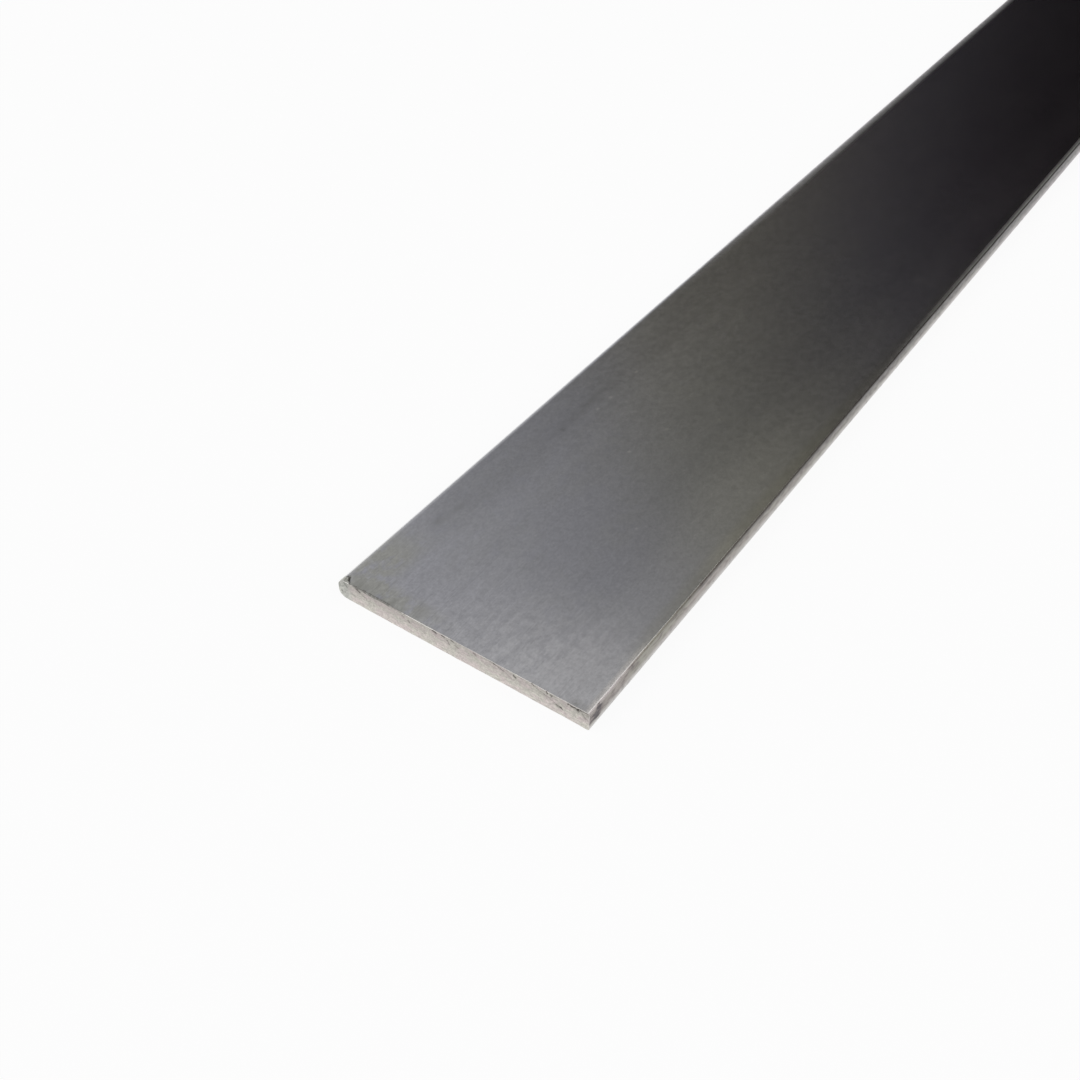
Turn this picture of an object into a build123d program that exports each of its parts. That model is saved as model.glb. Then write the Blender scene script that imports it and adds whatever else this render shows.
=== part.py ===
from build123d import *
import os

# Flat bar: one straight length of satin-finished flat stock, all one piece of metal.
# It lies flat. +X runs along the bar, away from its rough cut end, +Y points to the rounded
# long edge and +Z is up. The origin is the middle of the underside. Sizes are in millimetres.

# Size of the stock
bar_length = 500.0
bar_width = 50.0
bar_thickness = 4.0

# Long edges: the +Y edge was rolled round, the -Y edge was slit and only lightly dressed
rolled_edge_radius = 1.5
slit_edge_radius = 0.4

# A rounded edge keeps at least this share of the thickness flat between its two corners
edge_flat_share = 0.1

# Ends: the near end is left square as it was cut, the far end has its sharp edge filed off
filed_edge_break = 0.25

# The filed edge is narrower than the smallest corner it runs round, by this factor
filed_corner_share = 0.9


def corner_radius(radius):
    """The radius of a long edge's corners, as large as the thickness leaves room for."""
    return min(radius, bar_thickness * (1 - edge_flat_share) / 2)


rolled_corner = corner_radius(rolled_edge_radius)
slit_corner = corner_radius(slit_edge_radius)
edge_break = min(filed_edge_break, filed_corner_share * min(rolled_corner, slit_corner))

with BuildPart() as flat_bar:
    # The section as rolled and slit, seen along the bar, with its underside on the floor
    with BuildSketch(Plane.YZ) as section:
        Rectangle(bar_width, bar_thickness, align=(Align.CENTER, Align.MIN))
        fillet(section.vertices().group_by(Axis.X)[-1], radius=rolled_corner)
        fillet(section.vertices().group_by(Axis.X)[0], radius=slit_corner)
    extrude(amount=bar_length / 2, both=True)

    # The far end's edge is filed all the way round
    far_end = flat_bar.faces().sort_by(Axis.X)[-1]
    chamfer(far_end.edges(), length=edge_break)

flat_bar.part.label = "flat_bar"

os.makedirs("parts", exist_ok=True)
export_step(flat_bar.part, "parts/flat_bar.step")
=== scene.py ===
"""Looks of the metal flat bar: a close view of its rough cut end, on a white studio floor.

The bar is one mesh, made of a grid over its near end, a tube of fine rings along its length and a
plain cap at its far end. Chips, creases, the burr and the rolled-over edges of the cut are in the
mesh. The finish of the faces is in the materials. X runs along the bar, Y across it to the rounded
long edge, and Z up. Metres, as in the frame.
"""

import math

import bpy
import numpy as np
from mathutils import Matrix, Vector


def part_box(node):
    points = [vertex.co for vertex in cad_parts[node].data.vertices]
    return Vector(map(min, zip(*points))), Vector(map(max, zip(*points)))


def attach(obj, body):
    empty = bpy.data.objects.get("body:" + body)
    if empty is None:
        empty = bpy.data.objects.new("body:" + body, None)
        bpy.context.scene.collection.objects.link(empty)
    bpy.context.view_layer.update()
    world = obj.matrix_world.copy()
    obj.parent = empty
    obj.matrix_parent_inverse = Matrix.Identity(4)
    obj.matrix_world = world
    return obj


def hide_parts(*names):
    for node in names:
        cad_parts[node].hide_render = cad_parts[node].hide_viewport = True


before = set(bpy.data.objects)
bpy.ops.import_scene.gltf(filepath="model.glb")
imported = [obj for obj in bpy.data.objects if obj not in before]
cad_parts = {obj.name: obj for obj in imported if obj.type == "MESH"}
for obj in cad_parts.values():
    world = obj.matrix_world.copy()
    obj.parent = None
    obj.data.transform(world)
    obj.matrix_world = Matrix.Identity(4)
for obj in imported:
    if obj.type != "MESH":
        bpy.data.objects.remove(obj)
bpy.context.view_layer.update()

MM = 0.001

# The bar, read from the frame
low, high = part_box("flat_bar")
near_x = low.x
far_x = high.x
half_width = (high.y - low.y) / 2
thickness = high.z - low.z

# The section's corners, as in the CAD model, and the filed edge of the far end
rolled_radius = 1.5 * MM
slit_radius = 0.4 * MM
filed_break = 0.25 * MM

# How finely the mesh is cut
flat_columns = 470
rolled_columns = 20
slit_columns = 8
edge_rows = 36
edge_row_bunching = 1.25
arris_steps = 4
first_ring_gap = 0.09 * MM
ring_growth = 1.17

# Material slots on the mesh
SATIN, EDGE, CUT = range(3)


# Camera, placed from the right-hand top corner of the cut end

camera_pitch = math.radians(43.40)
camera_heading = math.radians(35.11)
camera_back = 102.97 * MM
camera_right = 63.4 * MM
camera_above = 150.0 * MM
focal_length_in_frame_widths = 1280 / 1080
sensor_width = 36.0


def make_camera():
    """The photo's view: down along the bar from over the corner of its cut end."""
    forward = Vector(
        (
            math.cos(camera_heading) * math.cos(camera_pitch),
            math.sin(camera_heading) * math.cos(camera_pitch),
            -math.sin(camera_pitch),
        )
    )
    right = Vector((math.sin(camera_heading), -math.cos(camera_heading), 0))
    up = right.cross(forward)
    data = bpy.data.cameras.new("camera")
    data.sensor_width = sensor_width
    data.lens = focal_length_in_frame_widths * sensor_width
    data.clip_start = 0.01
    data.clip_end = 100
    camera = bpy.data.objects.new("camera", data)
    place = Vector((near_x - camera_back, low.y - camera_right, high.z + camera_above))
    turn = Matrix((right, up, -forward)).transposed()
    camera.matrix_world = Matrix.Translation(place) @ turn.to_4x4()
    bpy.context.scene.collection.objects.link(camera)
    bpy.context.scene.camera = camera


# Relief of the cut end

def smooth(t):
    """An even ease from 0 to 1."""
    t = np.clip(t, 0, 1)
    return t * t * (3 - 2 * t)


def lattice_noise(u, v, seed):
    """Smooth noise from -1 to 1, with one random value at each whole number of u and v."""
    rng = np.random.default_rng(seed)
    u0, v0 = np.floor(u).astype(int), np.floor(v).astype(int)
    u0, v0 = u0 - u0.min(), v0 - v0.min()
    table = rng.uniform(-1, 1, (u0.max() + 2, v0.max() + 2))
    fu, fv = smooth(u - np.floor(u)), smooth(v - np.floor(v))
    lower = table[u0, v0] * (1 - fu) + table[u0 + 1, v0] * fu
    upper = table[u0, v0 + 1] * (1 - fu) + table[u0 + 1, v0 + 1] * fu
    return lower * (1 - fv) + upper * fv


# Smears that the blade drew across the cut: their slope, and their length, width and depth
smear_slope = math.radians(-32)
smears = (
    (9.0 * MM, 0.9 * MM, 0.030 * MM),
    (4.0 * MM, 0.45 * MM, 0.024 * MM),
    (2.0 * MM, 0.22 * MM, 0.012 * MM),
)
dimple_size = 0.45 * MM
dimple_depth = 0.012 * MM

# The lower edge was drawn in by the cut, more and more towards the slit edge
draw_height = 0.6 * MM
draw_depth = 0.08 * MM
draw_start = 30 * MM
draw_run = 16 * MM

# The top edge has a thin lip of burr, thinner towards the slit edge, but is rolled over on its left. The
# lip is painted pale as a highlight.
lip_height = 0.12 * MM
lip_depth = 0.03 * MM
lip_highlight_height = 0.10 * MM
lip_thins = (24 * MM, 30 * MM)
lip_thin_share = 0.45
lip_break_length = 2.1 * MM
rolled_over = 0.12 * MM
rolled_over_start = 38.0 * MM
rolled_over_end = 47.4 * MM
rolled_over_ease = 1.2 * MM
rolled_over_height = 0.34 * MM
rolled_over_wave = 0.9 * MM

# A thin lip also stands up along the cut's upright edge on the slit side, painted pale as a highlight
side_lip_width = 0.06 * MM
side_lip_start = 0.9 * MM
side_lip_highlight = 0.7

# Chips and creases of the cut, each a stroke from one point to another: distance from the slit
# edge and height over the top face of both points, half width, depth and how dark its painted shade is, in
# mm
CUT_MARKS = (
    (29.9, -0.42, 29.3, -0.55, 0.24, 0.22, 0.95),
    (28.2, -0.30, 27.6, -0.50, 0.18, 0.16, 0.8),
    (27.0, -0.75, 26.6, -1.60, 0.16, 0.10, 0.45),
    (26.3, -0.30, 25.9, -0.45, 0.22, 0.12, 0.6),
    (25.4, -1.05, 24.7, -1.35, 0.16, 0.08, 0.4),
    (36.3, -0.75, 35.9, -0.85, 0.28, 0.06, 0.3),
    (35.0, -1.25, 34.8, -1.40, 0.30, 0.06, 0.35),
    (21.8, -0.48, 21.4, -0.62, 0.20, 0.12, 0.5),
    (18.3, -0.18, 15.9, -0.80, 0.12, 0.12, 0.6),
    (15.9, -0.82, 14.0, -1.65, 0.11, 0.05, 0.2),
    (14.0, -0.70, 13.8, -0.82, 0.28, 0.24, 0.95),
    (10.6, -0.10, 10.3, -0.40, 0.15, 0.24, 0.9),
    (10.1, -0.50, 8.4, -0.95, 0.10, 0.06, 0.25),
    (8.4, -0.95, 5.6, -2.10, 0.11, 0.06, 0.3),
    (7.9, -0.18, 7.8, -0.55, 0.17, 0.20, 1.0),
    (7.1, -0.45, 6.9, -0.60, 0.20, 0.10, 0.6),
    (5.9, -2.10, 5.4, -2.15, 0.34, 0.08, 0.5),
    (5.35, -2.12, 5.05, -2.20, 0.30, 0.20, 1.0),
    (3.9, -0.38, 3.3, -0.52, 0.24, 0.30, 1.0),
    (3.3, -0.40, 2.3, -0.42, 0.15, 0.18, 1.0),
    (2.35, -0.46, 2.1, -0.72, 0.27, 0.32, 1.0),
    (2.1, -0.32, 0.4, -0.22, 0.13, 0.14, 0.9),
    (2.4, -0.45, 0.3, -0.50, 0.55, 0.02, 0.16),
    (1.3, -1.00, 0.6, -1.60, 0.16, 0.08, 0.35),
    (46.0, -0.35, 45.3, -0.70, 0.28, 0.12, 0.7),
    (45.3, -0.80, 43.8, -1.50, 0.15, 0.06, 0.22),
    (43.8, -1.50, 42.1, -2.05, 0.20, 0.04, 0.12),
    (47.0, -2.15, 46.8, -2.25, 0.50, 0.04, 0.15),
    (48.6, -0.55, 48.1, -1.10, 0.26, 0.08, 0.35),
    (49.4, -2.45, 49.2, -2.80, 0.20, 0.08, 0.35),
    (48.7, -2.40, 48.4, -2.70, 0.16, 0.05, 0.2),
    (46.4, -0.10, 42.5, -0.12, 0.12, 0.08, 0.45),
    (42.5, -0.12, 38.6, -0.10, 0.11, 0.05, 0.40),
    (38.6, -0.06, 35.5, -0.03, 0.10, 0.03, 0.35),
)

# Creases in the top face beside the cut: distance along the bar from the cut and from the slit
# edge of both points, half width, depth and how dark its painted shade is, in mm
TOP_MARKS = (
    (0.10, 47.3, 0.70, 47.9, 0.13, 0.06, 0.7),
    (0.70, 47.9, 1.45, 48.5, 0.20, 0.12, 1.0),
    (1.45, 48.5, 1.50, 48.9, 0.20, 0.10, 0.9),
    (0.25, 46.6, 0.30, 44.8, 0.14, 0.04, 0.35),
)

# The burr that the cut folded over the rounded corner, inside a line that slopes across the corner
fold_length = 1.45 * MM
fold_start = 47.35 * MM
fold_slope = 0.95
fold_ease = 0.22 * MM
fold_pits = 0.35 * MM
fold_pit_depth = 0.05 * MM


# How steep the sides of a stroke are
stroke_steepness = 1.7


def stroke_share(across, along, start, end, half_width_of_stroke):
    """How deep each point lies in a stroke: 1 along its line, falling to 0 at its sides."""
    direction = np.array(end) - np.array(start)
    length_squared = max(direction @ direction, 1e-12)
    t = ((across - start[0]) * direction[0] + (along - start[1]) * direction[1]) / length_squared
    t = np.clip(t, 0, 1)
    gap = np.hypot(across - start[0] - t * direction[0], along - start[1] - t * direction[1])
    return smooth(stroke_steepness * (1 - gap / half_width_of_stroke))


# The sides of the marks are ragged: how far they stray, and over what distance
ragged_by = 0.11 * MM
ragged_over = 0.20 * MM


def stroke_fields(across, along, marks):
    """The depth and the painted shade that a list of marks gives to each point."""
    depth, dark = np.zeros(across.shape), np.zeros(across.shape)
    u, v = across / ragged_over, along / ragged_over
    across = across + ragged_by * lattice_noise(u, v, 31)
    along = along + ragged_by * lattice_noise(u, v, 32)
    for x0, y0, x1, y1, half, deep, darkness in marks:
        share = stroke_share(across, along, (x0 * MM, y0 * MM), (x1 * MM, y1 * MM), half * MM)
        depth = np.maximum(depth, share * deep * MM)
        dark = np.maximum(dark, share * darkness)
    return depth, dark


def rolled_over_share(from_slit_edge):
    """Where along the cut its top edge is rolled over, as a share."""
    rise = smooth((from_slit_edge - rolled_over_start) / rolled_over_ease)
    return rise * smooth((rolled_over_end - from_slit_edge) / rolled_over_ease)


def cut_relief(y, z):
    """How far the cut surface lies behind the end's plane, its painted shade in chips, the painted
    highlight of its burr lips, and how dull it is.
    """
    across = y * math.cos(smear_slope) + z * math.sin(smear_slope)
    over = z * math.cos(smear_slope) - y * math.sin(smear_slope)
    from_slit_edge = y - low.y
    below_top = high.z - z
    relief = np.zeros(y.shape)
    for seed, (length, width, depth) in enumerate(smears):
        relief += depth * (1 + lattice_noise(across / length, over / width, seed)) / 2
    relief += dimple_depth * (1 + lattice_noise(y / dimple_size, z / dimple_size, 7)) / 2
    drawn = smooth((draw_start - from_slit_edge) / draw_run)
    relief += draw_depth * drawn * smooth(1 - (z - low.z) / draw_height) ** 2
    relief += lip_depth * smooth(below_top / lip_height)
    chips, dark = stroke_fields(from_slit_edge, -below_top, CUT_MARKS)
    burr = smooth((rolled_over_start - from_slit_edge) / rolled_over_ease)
    full = smooth((from_slit_edge - lip_thins[0]) / (lip_thins[1] - lip_thins[0]))
    burr *= lip_thin_share + (1 - lip_thin_share) * full
    unbroken = smooth(0.65 + 0.5 * lattice_noise(y / lip_break_length, z * 0, 21))
    top_lip = burr * unbroken * smooth(1.5 - below_top / lip_highlight_height)
    side_lip = smooth(1.5 - from_slit_edge / side_lip_width) * smooth(below_top / side_lip_start)
    # the burr lips are painted pale as a highlight
    burr_and_highlight = np.maximum(top_lip, side_lip_highlight * side_lip) * (1 - dark)
    ragged = rolled_over_height * (1 + 0.3 * lattice_noise(y / rolled_over_wave, z * 0, 22))
    dull = rolled_over_share(from_slit_edge) * smooth(2.2 * (1 - below_top / ragged))
    return relief + chips, dark, burr_and_highlight, dull


# Mesh of the bar

def section_columns():
    """Columns across the section: the y of each, and the height of its lower end."""
    slit_turn = np.linspace(0, math.pi / 2, slit_columns + 1)
    rolled_turn = np.linspace(math.pi / 2, 0, rolled_columns + 1)
    slit_y = -half_width + slit_radius * (1 - np.cos(slit_turn))
    slit_z = slit_radius * (1 - np.sin(slit_turn))
    rolled_y = half_width - rolled_radius * (1 - np.cos(rolled_turn))
    rolled_z = rolled_radius * (1 - np.sin(rolled_turn))
    flat_y = np.linspace(slit_y[-1], rolled_y[0], flat_columns + 1)[1:-1]
    y = np.concatenate([slit_y, flat_y, rolled_y])
    z = np.concatenate([slit_z, np.zeros(len(flat_y)), rolled_z])
    return y, z


def section_grid():
    """A grid over the section: y and z, by column and row, with rows bunched towards the top."""
    y, lower = section_columns()
    share = 1 - (1 - np.linspace(0, 1, edge_rows + 1)) ** edge_row_bunching
    z = low.z + lower[:, None] + (thickness - 2 * lower[:, None]) * share[None, :]
    return np.repeat(y[:, None], edge_rows + 1, axis=1), z


def outline_path(columns, rows):
    """Grid places round the section's outline: underside, rolled edge, top, slit edge."""
    last, top = columns - 1, rows - 1
    path = [(i, 0) for i in range(columns)]
    path += [(last, j) for j in range(1, rows)]
    path += [(i, top) for i in range(last - 1, -1, -1)]
    path += [(0, j) for j in range(top - 1, 0, -1)]
    return np.array(path)


# Radius of the worn edge round the cut end, which is uneven
arris_radius = 0.055 * MM
arris_unevenness = 0.025 * MM
arris_wave = 1.7 * MM

# How soon the marks of the cut fade on the faces behind it, and how soon the rings straighten there
rim_fade = 0.10 * MM
ring_straightening = 0.6 * MM

# The slit edge's film ends this far under the top face
film_below_top = 0.02 * MM


def edge_inset(y, z):
    """The radius of the cut's edge at each point of the section."""
    worn = arris_radius + arris_unevenness * lattice_noise(y / arris_wave, z / arris_wave, 11)
    up = (z - low.z) / thickness
    return worn + rolled_over * rolled_over_share(y - low.y) * up**3


def shrink(y, z, inset):
    """Moves points of the section towards its middle, by inset at its outline."""
    middle = (low.z + high.z) / 2
    return y * (1 - inset / half_width), middle + (z - middle) * (1 - inset / (thickness / 2))


def folded_burr(from_cut, y, z):
    """Where the top corner is covered by the folded burr, as a share, and how deep its pits are."""
    line = fold_start + fold_slope * from_cut
    share = smooth((y - low.y - line) / fold_ease) * smooth((fold_length - from_cut) / fold_ease)
    pits = fold_pit_depth * (1 + lattice_noise(from_cut / fold_pits, y / fold_pits + z / fold_pits, 13)) / 2
    return share, pits * share


# The sharp top corner along the slit edge is knocked down beside the cut
knocked_from = 0.1 * MM
knocked_depth = 0.06 * MM
knocked_width = 0.60 * MM
knocked_height = 0.9 * MM
knocked_start = 24 * MM
knocked_run = 16 * MM


def knocked_corner(from_cut, y, z):
    """How far the top is pressed down beside its sharp corner."""
    across = smooth(1 - (y - low.y - knocked_from) / knocked_width)
    down = smooth(1 - (high.z - z) / knocked_height)
    return knocked_depth * across * down * smooth((knocked_start - from_cut) / knocked_run)


def bar_mesh():
    """Vertices, faces, the material of each face, and the values of each vertex by name."""
    grid_y, grid_z = section_grid()
    columns, rows = grid_y.shape
    path = outline_path(columns, rows)
    around = len(path)
    ring_y, ring_z = grid_y[path[:, 0], path[:, 1]], grid_z[path[:, 0], path[:, 1]]

    # The near end
    inset = edge_inset(grid_y, grid_z)
    cap_y, cap_z = shrink(grid_y, grid_z, inset)
    relief, dark, burr_and_highlight, dull = cut_relief(cap_y, cap_z)
    knocked = knocked_corner(relief, cap_y, cap_z)
    points = [np.stack([near_x + relief, cap_y, cap_z - knocked], -1).reshape(-1, 3)]
    values = {"crease_shade_marks": [dark.ravel()], "burr_and_highlight_marks": [burr_and_highlight.ravel()], "dull_marks": [dull.ravel()]}
    cap_number = np.arange(columns * rows).reshape(columns, rows)
    rings = [cap_number[path[:, 0], path[:, 1]]]

    # Places of the rings from the worn edge to the far end: distance from the cut, and inset
    rim_inset = inset[path[:, 0], path[:, 1]]
    rim_relief = relief[path[:, 0], path[:, 1]]
    rim_shade = dark[path[:, 0], path[:, 1]]
    rim_highlight = burr_and_highlight[path[:, 0], path[:, 1]]
    rim_dull = dull[path[:, 0], path[:, 1]]
    rim_end = rim_relief + rim_inset
    places = []
    for turn in np.linspace(0, math.pi / 2, arris_steps + 1)[1:]:
        places.append((rim_relief + rim_inset * (1 - math.cos(turn)), rim_inset * (1 - math.sin(turn))))
    gap = first_ring_gap
    along = gap
    length = far_x - near_x
    while along < length - filed_break - gap:
        fade = math.exp(-along / ring_straightening)
        places.append((along + rim_end * fade, np.zeros(around)))
        gap *= ring_growth
        along += gap
    places.append((np.full(around, length - filed_break), np.zeros(around)))
    places.append((np.full(around, length), np.full(around, filed_break)))

    is_top = ring_z > (low.z + high.z) / 2
    number = columns * rows
    for from_cut, ring_inset in places:
        y, z = shrink(ring_y, ring_z, ring_inset)
        depth, marked = stroke_fields(from_cut, y - low.y, TOP_MARKS)
        folded, pits = folded_burr(from_cut, y, z)
        near = np.exp(-np.maximum(from_cut - rim_end, 0) / rim_fade)
        lowered = (depth + pits) * is_top + knocked_corner(from_cut, y, z)
        points.append(np.stack([near_x + from_cut, y, z - lowered], -1))
        # painted shade in the top creases and at the cut's rim
        values["crease_shade_marks"].append(np.maximum(marked * is_top, rim_shade * near))
        values["burr_and_highlight_marks"].append(np.maximum(folded * (1 - marked) * is_top, rim_highlight * near))
        values["dull_marks"].append(rim_dull * near)
        rings.append(np.arange(number, number + around))
        number += around

    faces, materials = [], []
    for i in range(columns - 1):
        for j in range(rows - 1):
            corners = cap_number[i, j], cap_number[i, j + 1], cap_number[i + 1, j + 1], cap_number[i + 1, j]
            faces.append(corners)
            materials.append(CUT)
    middle_y = (ring_y + np.roll(ring_y, -1)) / 2
    on_edge = (middle_y < -half_width + slit_radius) & (ring_z < high.z - film_below_top)
    for step, (a, b) in enumerate(zip(rings[:-1], rings[1:])):
        filed = step == len(rings) - 2
        worn = step < arris_steps - 1
        for k in range(around):
            n = (k + 1) % around
            faces.append((a[k], a[n], b[n], b[k]))
            materials.append(CUT if filed or worn else EDGE if on_edge[k] else SATIN)

    # The far end, in strips from the underside to the top
    last = rings[-1]
    place = {tuple(p): last[k] for k, p in enumerate(path)}
    first_side = [place[(0, j)] for j in range(rows)]
    last_side = [place[(columns - 1, j)] for j in range(rows)]
    for i in range(columns - 1):
        left = first_side if i == 0 else [place[(i, 0)], place[(i, rows - 1)]]
        right = last_side if i == columns - 2 else [place[(i + 1, 0)], place[(i + 1, rows - 1)]]
        faces.append(tuple(right) + tuple(reversed(left)))
        materials.append(CUT)
    values = {name: np.concatenate(parts) for name, parts in values.items()}
    return np.concatenate(points), faces, materials, values


def make_bar():
    """The bar's object, with its painted shade in creases, its burr and painted highlights, and its dull
    places stored on its vertices.
    """
    points, faces, materials, values = bar_mesh()
    mesh = bpy.data.meshes.new("bar_metal")
    mesh.from_pydata(points.tolist(), [], [tuple(int(v) for v in f) for f in faces])
    for make in (satin_metal, edge_metal, cut_metal):
        mesh.materials.append(make())
    mesh.polygons.foreach_set("material_index", np.array(materials, dtype=np.int32))
    mesh.polygons.foreach_set("use_smooth", np.ones(len(faces), dtype=bool))
    for name, numbers in values.items():
        attribute = mesh.attributes.new(name, "FLOAT", "POINT")
        attribute.data.foreach_set("value", numbers.astype(np.float32))
    mesh.update()
    bar = bpy.data.objects.new("flat_bar_metal", mesh)
    bpy.context.scene.collection.objects.link(bar)
    return bar


# Materials

class Nodes:
    """A material's node tree, with short calls for the nodes that the metals share."""

    def __init__(self, name):
        self.material = bpy.data.materials.new(name)
        self.material.use_nodes = True
        self.tree = self.material.node_tree
        self.shader = self.tree.nodes["Principled BSDF"]
        self.place = self.add("ShaderNodeTexCoord").outputs["Object"]
        axes = self.add("ShaderNodeSeparateXYZ", Vector=self.place)
        self.x, self.y, self.z = axes.outputs["X"], axes.outputs["Y"], axes.outputs["Z"]

    def add(self, kind, **values):
        """Adds a node. A value that is a socket is linked, and any other is set."""
        made = self.tree.nodes.new(kind)
        for name, value in values.items():
            self.put(made.inputs[name.replace("_", " ")], value)
        return made

    def put(self, socket, value):
        """Links a socket to the value, or sets it."""
        if isinstance(value, bpy.types.NodeSocket):
            self.tree.links.new(value, socket)
        else:
            socket.default_value = value

    def noise(self, size, detail=2.0, roughness=0.5, shift=0.0):
        """Noise whose grain is size long in X, Y and Z, in millimetres."""
        scale = [1 / (s * MM) for s in size]
        mapping = self.add("ShaderNodeMapping", Vector=self.place, Scale=scale, Location=(shift,) * 3)
        made = self.add(
            "ShaderNodeTexNoise",
            Vector=mapping.outputs["Vector"],
            Scale=1.0,
            Detail=detail,
            Roughness=roughness,
        )
        return made.outputs["Fac"]

    def ramp(self, value, low_in, high_in, low_out=0.0, high_out=1.0, smoothly=True):
        """Carries a value from one range to another, and stops at its ends."""
        made = self.add("ShaderNodeMapRange")
        made.interpolation_type = "SMOOTHSTEP" if smoothly else "LINEAR"
        for name, item in (
            ("Value", value),
            ("From Min", low_in),
            ("From Max", high_in),
            ("To Min", low_out),
            ("To Max", high_out),
        ):
            self.put(made.inputs[name], item)
        return made.outputs["Result"]

    def from_cut(self, start, end):
        """Rises from 0 to 1 between two distances from the cut, in millimetres."""
        return self.ramp(self.x, near_x + start * MM, near_x + end * MM)

    def from_slit_edge(self, start, end):
        """Rises from 0 to 1 between two distances from the slit edge, in millimetres."""
        return self.ramp(self.y, low.y + start * MM, low.y + end * MM)

    def below_top(self, start, end):
        """Rises from 0 to 1 between two depths under the top face, in millimetres."""
        return self.ramp(self.z, high.z - start * MM, high.z - end * MM)

    def spot(self, from_cut, from_slit_edge, below_top, radii):
        """A soft spot, 1 at its middle, by its place and its radii along X, Y and Z, in mm."""
        mapping = self.add(
            "ShaderNodeMapping",
            Vector=self.place,
            Location=(near_x + from_cut * MM, low.y + from_slit_edge * MM, high.z - below_top * MM),
            Scale=[r * MM for r in radii],
        )
        mapping.vector_type = "TEXTURE"
        length = self.add("ShaderNodeVectorMath")
        length.operation = "LENGTH"
        self.put(length.inputs[0], mapping.outputs["Vector"])
        return self.ramp(length.outputs["Value"], 1.0, 0.0)

    def math(self, operation, first, *others):
        """Joins two or more values with one operation, from left to right."""
        for other in others:
            made = self.add("ShaderNodeMath")
            made.operation = operation
            self.put(made.inputs[0], first)
            self.put(made.inputs[1], other)
            first = made.outputs["Value"]
        return first

    def mix(self, share, first, second, blend="MIX"):
        """Mixes two colours, given as sockets or as red, green and blue."""
        made = self.add("ShaderNodeMix")
        made.data_type = "RGBA"
        made.blend_type = blend
        self.put(made.inputs["Factor"], share)
        for name, value in (("A", first), ("B", second)):
            socket = next(s for s in made.inputs if s.name == name and s.type == "RGBA")
            self.put(socket, value if isinstance(value, bpy.types.NodeSocket) else (*value, 1.0))
        return next(s for s in made.outputs if s.type == "RGBA")

    def mark(self, name):
        """A value that is stored on the mesh."""
        made = self.add("ShaderNodeAttribute")
        made.attribute_name = name
        return made.outputs["Fac"]

    def bump(self, height, strength, distance):
        """A normal that is tilted by the slopes of a height."""
        made = self.add("ShaderNodeBump", Height=height, Strength=strength, Distance=distance)
        return made.outputs["Normal"]

    def finish(self, color, roughness, normal, **fixed):
        """Links the surface's colour, roughness and normal, and sets the rest on the shader."""
        self.put(self.shader.inputs["Base Color"], color)
        self.put(self.shader.inputs["Roughness"], roughness)
        self.put(self.shader.inputs["Normal"], normal)
        self.shader.inputs["Metallic"].default_value = 1.0
        for name, value in fixed.items():
            self.put(self.shader.inputs[name], value)
        return self.material


# Colours of the bare metal, of its stains, of its painted sheen and highlights, and of the painted shade in
# its chips
steel = (0.573, 0.576, 0.615)
steel_olive = (0.560, 0.560, 0.525)
speck_and_sheen_steel = (0.83, 0.825, 0.84)
painted_highlight_steel = (0.86, 0.83, 0.81)
steel_dull = (0.36, 0.355, 0.33)
steel_film = (0.76, 0.76, 0.76)
film = (0.96, 0.95, 0.88)
smudge = (0.58, 0.58, 0.54)
knob = (0.78, 0.78, 0.72)
knob_dark = (0.50, 0.50, 0.45)
nose = (0.67, 0.67, 0.625)
nose_dark = (0.46, 0.465, 0.43)
crease_shade_color = (0.045, 0.038, 0.034)

# Colours of the slit edge: its film, patches and scratches, a painted highlight at its top corner, a
# painted dark reflection further on, a painted reflection of the floor lower down, its stains, and two that
# paint shade further off
edge_brown = (0.300, 0.265, 0.245)
edge_olive = (0.280, 0.270, 0.225)
edge_patch = (0.175, 0.142, 0.138)
edge_scratch = (0.38, 0.345, 0.32)
edge_highlight = (0.46, 0.42, 0.41)
edge_dark_reflection = (0.11, 0.10, 0.088)
edge_floor_reflection = (0.62, 0.60, 0.585)
edge_stain = (0.165, 0.130, 0.130)
edge_blotch = (0.055, 0.044, 0.050)
edge_far_top_shade = (0.50, 0.49, 0.51)
edge_far_shade = (0.72, 0.69, 0.74)

# Colours of the cut, which is warmer in some places than in others
cut_warm = (0.640, 0.580, 0.560)
cut_olive = (0.620, 0.600, 0.548)

# Light specks on the top face, one of them a painted patch of sheen beside the cut: distance from the cut
# and from the slit edge, and radius, in mm
SPECKS = (
    (55.6, 28.0, 0.40),
    (67.5, 39.7, 0.55),
    (63.0, 39.8, 0.45),
    (77.5, 40.1, 0.50),
    (73.4, 19.1, 0.45),
    (65.3, 25.7, 0.50),
    (38.7, 15.9, 0.35),
    (34.0, 0.6, 0.40),
    # a painted patch of sheen beside the cut
    (0.5, 8.8, 0.70),
    (141.1, 7.9, 1.30),
    (174.0, 7.6, 1.10),
    (193.2, 10.2, 1.40),
)

# Dark smudges on the top face: distance from the cut and from the slit edge, both radii and how
# dark they are, in mm
SMUDGES = (
    (0.7, 38.9, 1.5, 0.9, 0.7),
    (2.2, 33.6, 2.6, 1.9, 0.45),
    (0.9, 45.5, 1.3, 2.6, 0.5),
    (0.6, 2.4, 1.5, 2.3, 1.0),
    (21.0, 45.0, 3.6, 1.6, 0.5),
    (26.0, 44.2, 3.5, 1.0, 0.35),
    (62.0, 42.3, 16.0, 1.7, 0.45),
    (54.0, 41.6, 1.0, 0.8, 0.6),
    (88.0, 40.2, 12.0, 1.6, 0.3),
)


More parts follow.
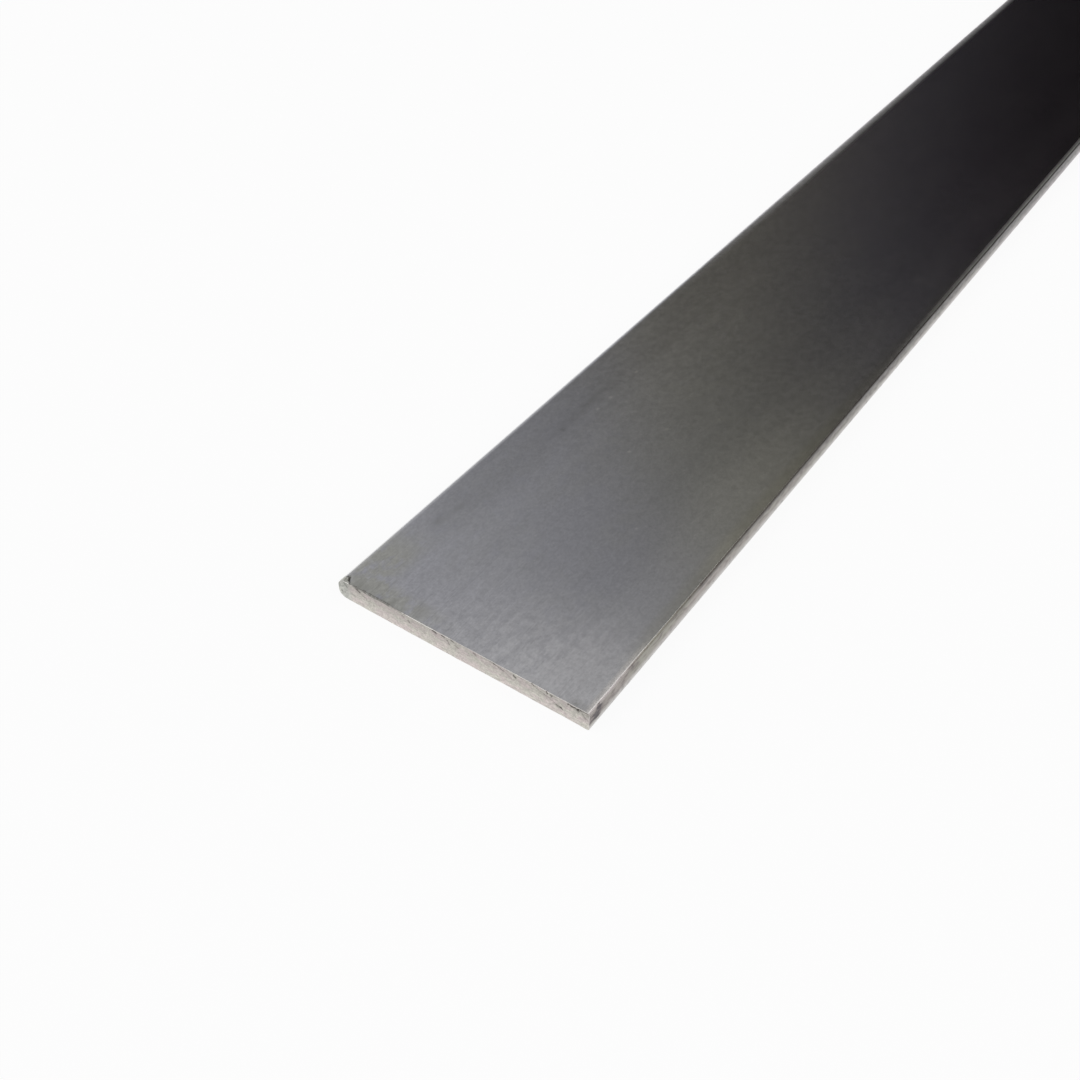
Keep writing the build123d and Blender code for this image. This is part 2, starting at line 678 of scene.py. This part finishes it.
def satin_metal():
    """The rolled faces: satin steel, finely scratched along the bar."""
    n = Nodes("satin_metal")
    lines = n.noise((80, 0.22, 0.22), detail=2.0, roughness=0.7)
    breaks = n.noise((2.6, 0.8, 0.8), detail=1.0, shift=5.0)
    grain = n.noise((0.55, 0.42, 0.42), detail=2.0, roughness=0.6, shift=3.0)
    mottle = n.noise((1.5, 1.2, 1.2), detail=3.0, shift=7.0)
    bands = n.noise((30, 2.2, 2.2), detail=2.0, shift=5.0)
    clouds = n.noise((13, 7, 7), detail=3.0, shift=9.0)
    patches = n.noise((3.5, 2.4, 2.4), detail=3.0, shift=11.0)

    # Olive patches behind the rounded corner and along the cut, and only a trace of them elsewhere
    behind_corner = n.math("MULTIPLY", n.from_cut(18, 8), n.from_slit_edge(40, 45))
    along_cut = n.math("MULTIPLY", n.from_cut(5, 2), n.from_slit_edge(24, 38))
    place = n.math("ADD", behind_corner, along_cut, n.math("MULTIPLY", n.ramp(clouds, 0.35, 0.65), 0.15))
    olive = n.math("MULTIPLY", n.math("MINIMUM", place, 1.0), n.ramp(patches, 0.32, 0.52))
    color = n.mix(olive, steel, steel_olive)

    # Darker in a wide band beside the rolled edge
    band = n.math("MULTIPLY", n.from_slit_edge(36, 44), n.from_cut(10, 30), n.from_cut(150, 105))
    color = n.mix(n.math("MULTIPLY", band, 0.5), color, n.mix(1.0, color, steel_film, blend="MULTIPLY"))

    # Painted sheen near the cut, most of all towards the slit edge, along that edge and in two
    # patches, a painted reflection where the section turns round, and a painted highlight at the sharp
    # corner near the cut
    uneven = n.ramp(mottle, 0.25, 0.75, 0.75, 1.25)
    sheen_near_cut = n.math("MULTIPLY", n.from_cut(25, 0), n.from_slit_edge(44, 4), uneven)
    beside = n.math("MULTIPLY", n.from_slit_edge(15, 4), 0.33)
    sheen_patch = n.math("MULTIPLY", n.spot(42, 1, 0, (10, 3, 1)), 0.35)
    sheen = n.math("MULTIPLY", n.spot(66, 4, 0, (40, 15, 1)), 0.38)
    rim_reflection = n.math("MULTIPLY", n.from_slit_edge(48.5, 49.2), 0.6)
    far_rim_reflection = n.math("MULTIPLY", n.from_slit_edge(46.8, 48.6), n.from_cut(80, 200), 0.6)
    painted_sheen = n.math("MINIMUM", n.math("ADD", sheen_near_cut, beside, sheen_patch, sheen, rim_reflection, far_rim_reflection), 1.0)
    color = n.mix(painted_sheen, color, speck_and_sheen_steel)
    # the grain breaks up the painted highlight at the sharp corner
    worn = n.ramp(grain, 0.2, 0.6, 0.5, 1.0)
    corner = n.math("MULTIPLY", n.from_slit_edge(1.4, 0.6), n.from_cut(22, 10), worn)
    color = n.mix(corner, color, painted_highlight_steel)

    # Broken straight scratches along the bar, which thin out behind the cut, grain and faint bands
    few = n.ramp(n.x, near_x + 12 * MM, near_x + 45 * MM, 1.0, 0.25)
    coarse = n.ramp(n.x, near_x + 35 * MM, near_x + 95 * MM, 1.0, 3.0)
    unevenness = n.math(
        "ADD",
        n.math("MULTIPLY", n.ramp(lines, 0.3, 0.7, -0.06, 0.06), n.ramp(breaks, 0.4, 0.62, 0.1, 1.0), few),
        n.ramp(grain, 0.25, 0.75, -0.07, 0.07),
        n.math("MULTIPLY", n.ramp(mottle, 0.25, 0.75, -0.03, 0.03), coarse),
        n.ramp(bands, 0.25, 0.75, -0.02, 0.02),
    )
    stronger = n.ramp(n.x, near_x, near_x + 14 * MM, 1.4, 1.0)
    tone = n.math("ADD", n.math("MULTIPLY", unevenness, stronger), 1.0)
    color = n.mix(1.0, color, tone, blend="MULTIPLY")

    # The dull film along the slit edge, which starts a little way behind the cut
    strip = n.math("MULTIPLY", n.from_slit_edge(3.4, 0.8), n.from_cut(8, 22))
    color = n.mix(strip, color, n.mix(1.0, color, film, blend="MULTIPLY"))

    # Smudges, broken up by mottling, and light specks
    marks = [n.math("MULTIPLY", n.spot(x, y, 0, (rx, ry, 1)), dark) for x, y, rx, ry, dark in SMUDGES]
    broken = n.ramp(breaks, 0.3, 0.6, 0.4, 1.0)
    grainy = n.ramp(grain, 0.3, 0.6)
    stain = n.math("MULTIPLY", n.math("ADD", *marks), broken, grainy)
    color = n.mix(stain, color, n.mix(1.0, color, smudge, blend="MULTIPLY"))
    # light specks, one of them a painted patch of sheen
    specks = n.math("ADD", *[n.spot(x, y, 0, (1.5 * r, r, 1)) for x, y, r in SPECKS])
    color = n.mix(n.math("MULTIPLY", specks, 0.6), color, speck_and_sheen_steel)

    # The folded burr with the painted highlight at the rim, the darker rolled-over band, and painted shade
    # in creases
    burr_and_highlight = n.mark("burr_and_highlight_marks")
    color = n.mix(burr_and_highlight, color, n.mix(n.ramp(grain, 0.42, 0.62), knob, knob_dark))
    dull = n.mark("dull_marks")
    color = n.mix(dull, color, steel_dull)
    color = n.mix(n.mark("crease_shade_marks"), color, crease_shade_color)
    far_rims = n.math("MAXIMUM", n.from_slit_edge(46.8, 48.8), n.from_slit_edge(1.5, 0.3))
    far_rims = n.math("MULTIPLY", far_rims, n.from_cut(70, 190), 1.2)
    rougher = n.math("MULTIPLY", n.math("ADD", burr_and_highlight, dull, corner, far_rims), 0.25)
    rough = n.math("ADD", n.ramp(clouds, 0.3, 0.7, 0.175, 0.19), rougher)
    normal = n.bump(n.math("ADD", lines, grain), 0.15, 0.002 * MM)
    tangent = n.add("ShaderNodeTangent")
    tangent.direction_type = "RADIAL"
    tangent.axis = "X"
    return n.finish(color, rough, normal, Anisotropic=0.3, Tangent=tangent.outputs["Tangent"])


def edge_metal():
    """The slit edge: drawn metal with a dull brown film, and a painted reflection of the floor lower down.
    """
    n = Nodes("edge_metal")
    lines = n.noise((7, 0.35, 0.25), detail=3.0, roughness=0.6)
    patches = n.noise((1.5, 0.7, 0.6), detail=3.0, shift=4.0)
    clouds = n.noise((9, 4, 2), detail=2.0, shift=8.0)
    color = n.mix(n.ramp(clouds, 0.35, 0.65), edge_brown, edge_olive)
    stained = n.math("MULTIPLY", n.ramp(patches, 0.45, 0.65, 0.0, 0.7), n.below_top(2.8, 1.4))
    color = n.mix(stained, color, edge_patch)
    color = n.mix(n.ramp(lines, 0.5, 0.75, 0.0, 0.5), color, edge_scratch)

    # Painted highlight at the top corner near the cut, a painted dark reflection there further on, and a
    # painted reflection of the floor lower down
    corner = n.below_top(0.55, 0.25)
    color = n.mix(n.math("MULTIPLY", corner, n.from_cut(16, 6)), color, edge_highlight)
    color = n.mix(n.math("MULTIPLY", n.below_top(1.4, 0.4), n.from_cut(8, 46)), color, edge_dark_reflection)
    color = n.mix(n.below_top(1.9, 4.0), color, edge_floor_reflection)
    # painted shade further from the cut
    far_top_shade = n.math("MULTIPLY", n.from_cut(35, 115), n.below_top(3.2, 1.4))
    color = n.mix(far_top_shade, color, n.mix(1.0, color, edge_far_top_shade, blend="MULTIPLY"))
    color = n.mix(n.from_cut(120, 230), color, n.mix(1.0, color, edge_far_shade, blend="MULTIPLY"))

    # The stain and the dark blotch just behind the cut
    stain = n.math("MULTIPLY", n.from_cut(6.0, 2.5), n.below_top(0.4, 1.1), n.below_top(3.0, 2.2))
    stain = n.math("MULTIPLY", stain, n.ramp(patches, 0.3, 0.6, 0.5, 1.0))
    color = n.mix(stain, color, edge_stain)
    blotch = n.math("MAXIMUM", n.spot(2.1, 0, 1.8, (1.9, 1, 1.9)), n.spot(2.7, 0, 0.9, (1.6, 1, 1.0)))
    blotch = n.math(
        "ADD",
        blotch,
        n.ramp(patches, 0.25, 0.75, -0.5, 0.3),
        n.ramp(lines, 0.25, 0.75, -0.2, 0.2),
    )
    color = n.mix(n.ramp(blotch, 0.0, 0.8), color, edge_blotch)
    # painted shade in chips and creases
    color = n.mix(n.mark("crease_shade_marks"), color, crease_shade_color)
    rough = n.ramp(patches, 0.3, 0.7, 0.28, 0.40)
    normal = n.bump(lines, 0.3, 0.02 * MM)
    return n.finish(color, rough, normal)


def cut_metal():
    """The cut end: smeared, matt and slightly warm, with painted shade at its top and painted floor light
    towards its bottom.
    """
    n = Nodes("cut_metal")
    smear = n.noise((1, 1.6, 0.4), detail=4.0, roughness=0.6, shift=2.0)
    blush = n.noise((1, 2.4, 1.3), detail=2.0, shift=6.0)
    mottle = n.noise((1, 0.7, 0.5), detail=3.0, roughness=0.6, shift=4.0)
    grain = n.noise((0.25, 0.25, 0.25), detail=3.0, roughness=0.6)
    color = n.mix(n.ramp(blush, 0.35, 0.65), cut_warm, cut_olive)
    tone = n.math(
        "MULTIPLY",
        n.ramp(smear, 0.3, 0.7, 0.86, 1.10),
        n.ramp(mottle, 0.3, 0.7, 0.88, 1.08),
        n.ramp(grain, 0.3, 0.7, 0.90, 1.10),
        # painted shade at the top of the cut, painted floor light towards its bottom
        n.ramp(n.below_top(0.2, 3.6), 0.0, 1.0, 0.86, 1.10, smoothly=False),
    )
    color = n.mix(n.from_slit_edge(46.6, 48.4), color, n.mix(n.ramp(mottle, 0.4, 0.6), nose, nose_dark))
    color = n.mix(1.0, color, tone, blend="MULTIPLY")
    color = n.mix(n.mark("dull_marks"), color, steel_dull)
    burr_and_highlight = n.mark("burr_and_highlight_marks")
    # painted highlight on the burr lips
    color = n.mix(burr_and_highlight, color, painted_highlight_steel)
    # painted shade in chips and creases
    color = n.mix(n.mark("crease_shade_marks"), color, crease_shade_color)
    rough = n.math("SUBTRACT", n.ramp(smear, 0.3, 0.7, 0.50, 0.62), n.math("MULTIPLY", burr_and_highlight, 0.15))
    normal = n.bump(grain, 0.6, 0.03 * MM)
    return n.finish(color, rough, normal)


# Studio

world_color = (0.985, 0.985, 1.0)
world_strength = 0.50
floor_color = (0.98, 0.98, 0.98)
floor_side = 24.0

# How much of the floor's look, to the camera and in the metal, is plain white
floor_white = 0.90


def make_world():
    """A soft even light, which the camera sees as plain white."""
    world = bpy.data.worlds.new("studio")
    world.use_nodes = True
    tree = world.node_tree
    background = tree.nodes["Background"]
    background.inputs["Color"].default_value = (*world_color, 1.0)
    rays = tree.nodes.new("ShaderNodeLightPath").outputs
    strength = tree.nodes.new("ShaderNodeMapRange")
    strength.inputs["To Min"].default_value = world_strength
    strength.inputs["To Max"].default_value = 1.0
    tree.links.new(rays["Is Camera Ray"], strength.inputs["Value"])
    tree.links.new(strength.outputs["Result"], background.inputs["Strength"])
    bpy.context.scene.world = world


def direction(azimuth, elevation):
    """A unit vector: azimuth from +X towards +Y, elevation over the floor, in degrees."""
    a, e = math.radians(azimuth), math.radians(elevation)
    return Vector((math.cos(a) * math.cos(e), math.sin(a) * math.cos(e), math.sin(e)))


def plane_mesh(name, side):
    """A square in the XY plane, linked to the scene."""
    mesh = bpy.data.meshes.new(name)
    h = side / 2
    mesh.from_pydata([(-h, -h, 0), (h, -h, 0), (h, h, 0), (-h, h, 0)], [], [(0, 1, 2, 3)])
    made = bpy.data.objects.new(name, mesh)
    bpy.context.scene.collection.objects.link(made)
    return made


def make_floor():
    """The white floor, which keeps the bar's shadow."""
    floor = plane_mesh("floor", floor_side)
    floor.location.z = low.z
    n = Nodes("floor_paint")
    n.tree.nodes.remove(n.shader)
    paint = n.add("ShaderNodeBsdfDiffuse", Color=(*floor_color, 1.0))
    white = n.add("ShaderNodeEmission", Color=(1, 1, 1, 1), Strength=1.0)
    rays = n.add("ShaderNodeLightPath").outputs
    seen = n.math("MAXIMUM", rays["Is Camera Ray"], rays["Is Glossy Ray"], rays["Is Transmission Ray"])
    mix = n.add("ShaderNodeMixShader", Fac=n.math("MULTIPLY", seen, floor_white))
    n.put(mix.inputs[1], paint.outputs["BSDF"])
    n.put(mix.inputs[2], white.outputs["Emission"])
    n.put(n.tree.nodes["Material Output"].inputs["Surface"], mix.outputs["Shader"])
    floor.data.materials.append(n.material)


near_end = Vector((near_x, 0, high.z))


def make_softbox(name, azimuth, elevation, distance, width, height, radiance):
    """A soft lamp that faces the cut end. Its radiance adds to the world's light behind it."""
    data = bpy.data.lights.new(name, "AREA")
    data.shape = "RECTANGLE"
    data.size = width
    data.size_y = height
    data.energy = radiance * math.pi * width * height
    lamp = bpy.data.objects.new(name, data)
    toward = direction(azimuth, elevation)
    lamp.location = near_end + toward * distance
    lamp.rotation_mode = "QUATERNION"
    lamp.rotation_quaternion = toward.to_track_quat("Z", "Y")
    bpy.context.scene.collection.objects.link(lamp)


# The dark card past the far end: its distance, and how far from its middle each of its sides
# starts and ends to fade, as shares of the distance
card_distance = 5.0
card_azimuth = 0
card_elevation = 15
card_half_side = 1.4
card_left_fade = (0.167, 1.062)
card_top_fade = (0.15, 1.32)
card_right_fade = (-0.30, -0.75)
card_color = (0.0140, 0.0104, 0.0122)

# Tints of the fading sides where they are half dark and where they are nearly dark, on the left
# and on the right. The left part reaches further in where the card is darker.
card_half_left_tint = (1.0, 0.93, 0.735)
card_half_right_tint = (1.0, 0.985, 0.80)
card_deep_left_tint = (1.0, 0.80, 0.62)
card_deep_right_tint = (0.95, 0.92, 1.0)
card_left_part = (0.70, 0.80)
card_left_reach = 0.44


def make_dark_card():
    """A dark card with soft sides, which the bar's top face mirrors."""
    toward = direction(card_azimuth, card_elevation)
    card = plane_mesh("dark_card", 2 * card_half_side * card_distance)
    card.location = near_end + toward * card_distance
    card.rotation_mode = "QUATERNION"
    card.rotation_quaternion = toward.to_track_quat("Z", "Y")
    n = Nodes("card_paint")
    n.tree.nodes.remove(n.shader)
    sides = ((n.x, card_left_fade), (n.y, card_top_fade), (n.x, card_right_fade))
    fades = [n.ramp(axis, *[end * card_distance for end in fade], 1.0, 0.0) for axis, fade in sides]
    dark = n.math("MULTIPLY", *fades)
    share = n.math("DIVIDE", n.x, card_distance)
    on_left = n.ramp(n.math("ADD", share, n.math("MULTIPLY", dark, card_left_reach)), *card_left_part)
    half_tint = n.mix(on_left, card_half_right_tint, card_half_left_tint)
    deep_tint = n.mix(on_left, card_deep_right_tint, card_deep_left_tint)
    tint = n.mix(n.ramp(dark, 0.47, 0.63), (1, 1, 1), half_tint)
    tint = n.mix(n.ramp(dark, 0.79, 0.94), tint, deep_tint)
    clear = n.add("ShaderNodeBsdfTransparent", Color=tint)
    black = n.add("ShaderNodeBsdfDiffuse", Color=(*card_color, 1.0))
    mix = n.add("ShaderNodeMixShader", Fac=dark)
    n.put(mix.inputs[1], clear.outputs["BSDF"])
    n.put(mix.inputs[2], black.outputs["BSDF"])
    n.put(n.tree.nodes["Material Output"].inputs["Surface"], mix.outputs["Shader"])
    card.data.materials.append(n.material)
    card.visible_camera = False


make_camera()
bar = make_bar()
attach(bar, "root")
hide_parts("flat_bar")
make_world()
make_floor()
make_softbox("key_softbox", azimuth=160, elevation=45, distance=3.0, width=4.2, height=4.2, radiance=0.80)
make_softbox("fill_softbox", azimuth=-62, elevation=38, distance=3.0, width=3.5, height=2.9, radiance=0.75)
make_dark_card()
bpy.context.scene.view_settings.view_transform = "Standard"
